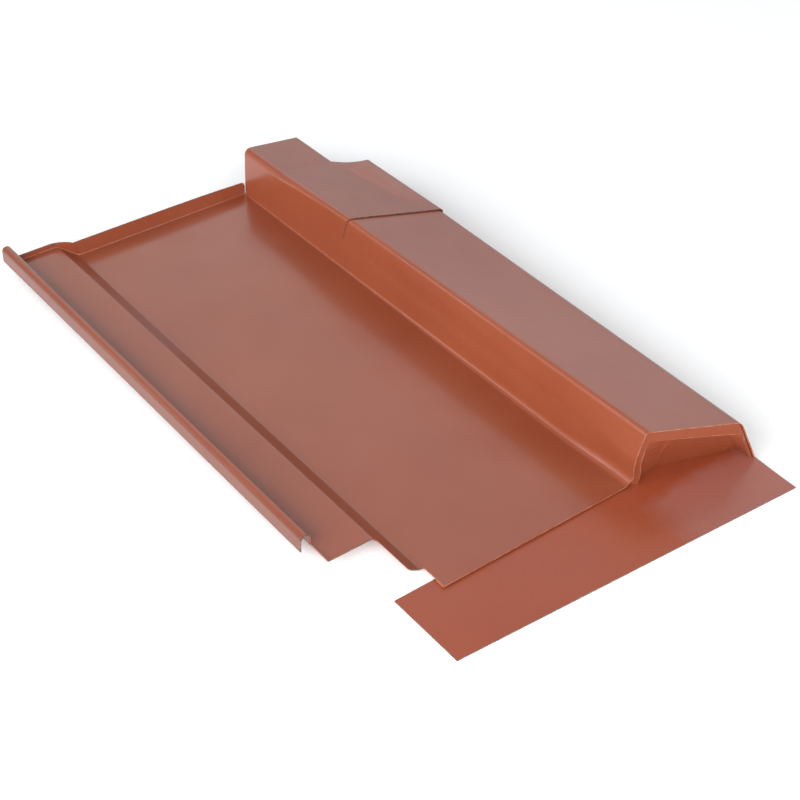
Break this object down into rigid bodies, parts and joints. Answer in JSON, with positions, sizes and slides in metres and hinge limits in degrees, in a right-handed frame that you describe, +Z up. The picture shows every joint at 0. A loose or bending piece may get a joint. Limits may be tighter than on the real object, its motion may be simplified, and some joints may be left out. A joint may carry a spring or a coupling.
{
  "type": "metal roof tile sheet",
  "caption": "Folded painted steel roof sheet with a flat pan, a side water hook, a rear flange, a hollow lapped rib with a closed nose and a soft front apron.",
  "frame": {"origin": "middle of the part's footprint, on the level floor it lies on", "axes": "+X across the sheet from the hook to the rib, +Y up the slope from the apron to the rear flange, +Z up out of the pan"},
  "size_m": [0.2586, 0.4772, 0.0438],
  "materials": {
    "painted_sheet": "satin powder coat, copper brown",
    "soft_apron": "satin coated soft strip, copper brown"
  },
  "bodies": {
    "root": {"roof_sheet": "painted_sheet", "rib_end_plate": "painted_sheet", "front_apron": "soft_apron"}
  },
  "joints": []
}
